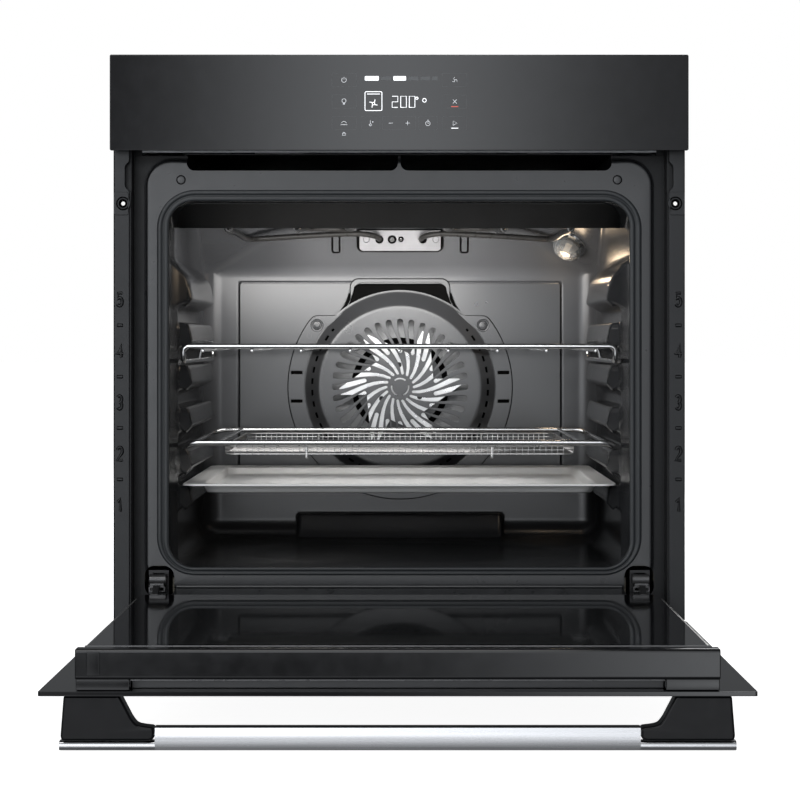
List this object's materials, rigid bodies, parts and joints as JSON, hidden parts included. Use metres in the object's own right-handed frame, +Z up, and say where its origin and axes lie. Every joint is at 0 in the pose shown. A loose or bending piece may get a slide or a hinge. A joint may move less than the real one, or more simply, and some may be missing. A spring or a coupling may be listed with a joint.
{
  "type": "wall oven",
  "caption": "Built-in wall oven with a touch control panel, a fan-heated cavity holding a wire rack, a mesh basket rack and a baking tray, and a drop-down glass door.",
  "frame": {"origin": "middle of the front edge of the base's underside, in the plane of the cabinet's front", "axes": "+X right as seen from the front, +Y from the front to the back, +Z up"},
  "size_m": [0.595, 1.053, 0.635],
  "materials": {
    "frame_enamel": "satin dark grey enamel",
    "cavity_enamel": "glossy dark grey enamel",
    "galvanised_sheet": "galvanised sheet steel",
    "zinc_steel": "zinc-plated steel",
    "heater_tube": "dark oxidised tube",
    "black_glass": "black-backed glass",
    "printed_glass": "mirror-coated glass with a black printed border",
    "clear_glass": "clear glass",
    "black_plastic": "moulded black plastic",
    "grey_cap": "satin dark grey",
    "door_seal": "grey woven seal",
    "brushed_steel": "brushed stainless steel",
    "bright_wire": "chromed wire",
    "tray_steel": "bright sheet steel",
    "mineral_wool": "mineral wool",
    "lamp_ceramic": "unglazed ceramic",
    "circuit_board": "green circuit board"
  },
  "bodies": {
    "oven_body": {"front_frame": "frame_enamel", "side_trim_left": "frame_enamel", "side_trim_right": "frame_enamel", "cavity_shell": "cavity_enamel", "baffle_plate": "cavity_enamel", "fan_cover": "cavity_enamel", "element_bracket": "cavity_enamel", "casing_left": "galvanised_sheet", "casing_right": "galvanised_sheet", "casing_top": "galvanised_sheet", "base_panel": "galvanised_sheet", "rear_panel": "galvanised_sheet", "top_partition": "galvanised_sheet", "air_duct": "galvanised_sheet", "blower_housing": "galvanised_sheet", "fan_cover_screw_left": "zinc_steel", "fan_cover_screw_right": "zinc_steel", "fan_motor": "zinc_steel", "blower_motor": "zinc_steel", "temperature_probe": "zinc_steel", "hinge_receiver_left": "zinc_steel", "hinge_receiver_right": "zinc_steel", "hinge_arm_left": "zinc_steel", "hinge_arm_right": "zinc_steel", "ring_element": "heater_tube", "grill_element": "heater_tube", "bottom_element": "heater_tube", "control_glass": "black_glass", "lamp_glass": "clear_glass", "lamp_bulb": "clear_glass", "control_carrier": "black_plastic", "terminal_box": "black_plastic", "door_gasket": "door_seal", "insulation_wrap": "mineral_wool", "lamp_socket": "lamp_ceramic", "control_board": "circuit_board", "power_board": "circuit_board"},
    "convection_fan": {"fan_impeller": "brushed_steel", "fan_shaft": "zinc_steel"},
    "cooling_blower": {"blower_wheel": "black_plastic"},
    "upper_rack": {"upper_rack": "bright_wire"},
    "basket_rack": {"basket_frame": "bright_wire", "mesh_basket": "brushed_steel"},
    "baking_tray": {"baking_tray": "tray_steel"},
    "hinge_latch_left": {"hinge_latch_left": "zinc_steel"},
    "hinge_latch_right": {"hinge_latch_right": "zinc_steel"},
    "door": {"door_outer_glass": "black_glass", "door_middle_glass": "clear_glass", "door_inner_glass": "printed_glass", "door_side_profile_left": "zinc_steel", "door_side_profile_right": "zinc_steel", "door_top_cap": "grey_cap", "door_bottom_rail": "zinc_steel", "handle_post_left": "black_plastic", "handle_post_right": "black_plastic", "handle_bar": "brushed_steel", "hinge_channel_left": "zinc_steel", "hinge_channel_right": "zinc_steel", "hinge_spring_left": "zinc_steel", "hinge_spring_right": "zinc_steel"}
  },
  "joints": [
    {"name": "door_hinge", "type": "hinge", "parent": "oven_body", "child": "door", "pos_m": [0, -0.01375, 0.01475], "axis": [-1, 0, 0], "range_deg": [0, 90]},
    {"name": "upper_rack_slide", "type": "slide", "parent": "oven_body", "child": "upper_rack", "axis": [0, 1, 0], "range_m": [-0.19, 0]},
    {"name": "basket_rack_slide", "type": "slide", "parent": "oven_body", "child": "basket_rack", "axis": [0, 1, 0], "range_m": [-0.19, 0]},
    {"name": "tray_slide", "type": "slide", "parent": "oven_body", "child": "baking_tray", "axis": [0, 1, 0], "range_m": [-0.19, 0]},
    {"name": "fan_spin", "type": "hinge", "parent": "oven_body", "child": "convection_fan", "pos_m": [0, 0.455, 0.245], "axis": [0, 1, 0], "continuous": true},
    {"name": "blower_spin", "type": "hinge", "parent": "oven_body", "child": "cooling_blower", "pos_m": [0, 0.345, 0.52], "axis": [1, 0, 0], "continuous": true},
    {"name": "latch_left_flip", "type": "hinge", "parent": "oven_body", "child": "hinge_latch_left", "pos_m": [-0.2525, 0.012, 0.042], "axis": [-1, 0, 0], "range_deg": [-90, 0]},
    {"name": "latch_right_flip", "type": "hinge", "parent": "oven_body", "child": "hinge_latch_right", "pos_m": [0.2525, 0.012, 0.042], "axis": [-1, 0, 0], "range_deg": [-90, 0]}
  ]
}
